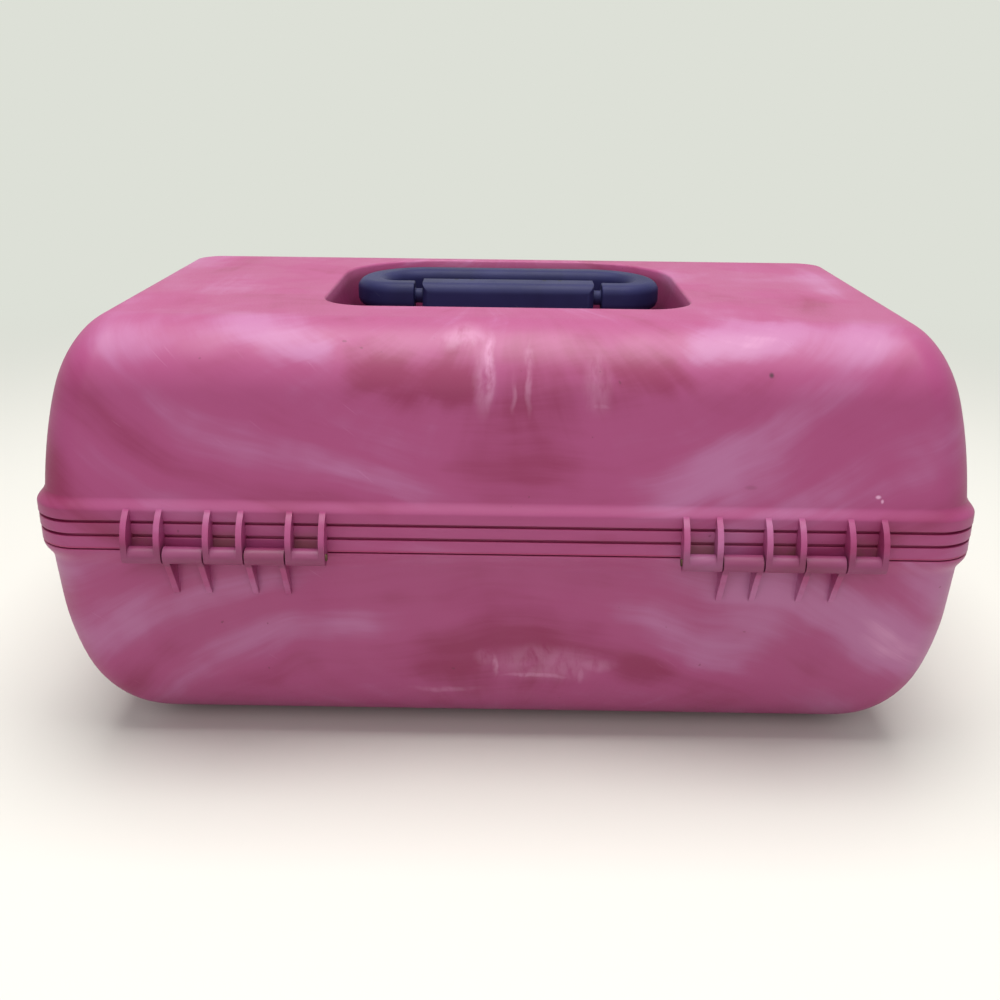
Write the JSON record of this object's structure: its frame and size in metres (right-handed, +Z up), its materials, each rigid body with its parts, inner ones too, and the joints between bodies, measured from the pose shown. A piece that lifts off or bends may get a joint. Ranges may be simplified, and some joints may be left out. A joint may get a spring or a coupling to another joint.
{
  "type": "makeup storage case",
  "caption": "Portable moulded storage case for make-up: domed hinged lid with a fold-flat carrying handle in a well, a front snap latch, a mirror and a tray that rises as the lid opens.",
  "frame": {"origin": "Middle of the flat underside of the base, on the surface that the case stands on, centred on the shells.", "axes": "+Z up, +X along the case's width with the viewer's right hand at the latch, +Y from the latch to the hinge."},
  "size_m": [0.335, 0.2254, 0.1608],
  "materials": {
    "plum_base": "matte moulded plastic with swirled plum, rose and pale lilac marbling",
    "plum_lid": "matte moulded plastic with swirled plum, rose and pale lilac marbling",
    "navy_plastic": "satin navy moulded plastic",
    "tray_plastic": "plain dusty rose moulded plastic",
    "pin_metal": "dull, aged brass-coloured metal",
    "mirror": "silvered glass"
  },
  "bodies": {
    "case_base": {"base_shell": "plum_base", "hinge_pin_left": "pin_metal", "hinge_pin_right": "pin_metal", "base_rivet_left": "pin_metal", "base_rivet_right": "pin_metal"},
    "lid": {"lid_shell": "plum_lid", "handle_bracket": "navy_plastic", "bracket_foot": "navy_plastic", "bracket_screws": "pin_metal", "latch_pin": "pin_metal", "lid_rivet_left": "pin_metal", "lid_rivet_right": "pin_metal", "mirror_frame": "tray_plastic", "mirror_glass": "mirror"},
    "handle": {"handle_bail": "navy_plastic"},
    "latch": {"latch_flap": "navy_plastic"},
    "links": {"link_left": "tray_plastic", "link_right": "tray_plastic"},
    "tray_body": {"tray": "tray_plastic", "tray_divider_left": "tray_plastic", "tray_divider_right": "tray_plastic", "tray_rivet_left": "pin_metal", "tray_rivet_right": "pin_metal"}
  },
  "joints": [
    {"name": "lid_hinge", "type": "hinge", "parent": "case_base", "child": "lid", "pos_m": [0, 0.108, 0.0837], "axis": [-1, 0, 0], "range_deg": [0, 105]},
    {"name": "handle_pivot", "type": "hinge", "parent": "lid", "child": "handle", "pos_m": [0, -0.0085, 0.1544], "axis": [-1, 0, 0], "range_deg": [0, 180]},
    {"name": "latch_pivot", "type": "hinge", "parent": "lid", "child": "latch", "pos_m": [0, -0.1084, 0.0957], "axis": [-1, 0, 0], "range_deg": [0, 80]},
    {"name": "link_swing", "type": "hinge", "parent": "case_base", "child": "links", "pos_m": [0, 0.006, 0.0769], "axis": [-1, 0, 0], "range_deg": [0, 105]},
    {"name": "tray_level", "type": "hinge", "parent": "links", "child": "tray_body", "pos_m": [0, -0.042, 0.0947], "axis": [1, 0, 0], "range_deg": [0, 105]}
  ],
  "couplings": [
    {"joint": "link_swing", "follows": "lid_hinge", "ratio": 1},
    {"joint": "tray_level", "follows": "lid_hinge", "ratio": 1}
  ]
}
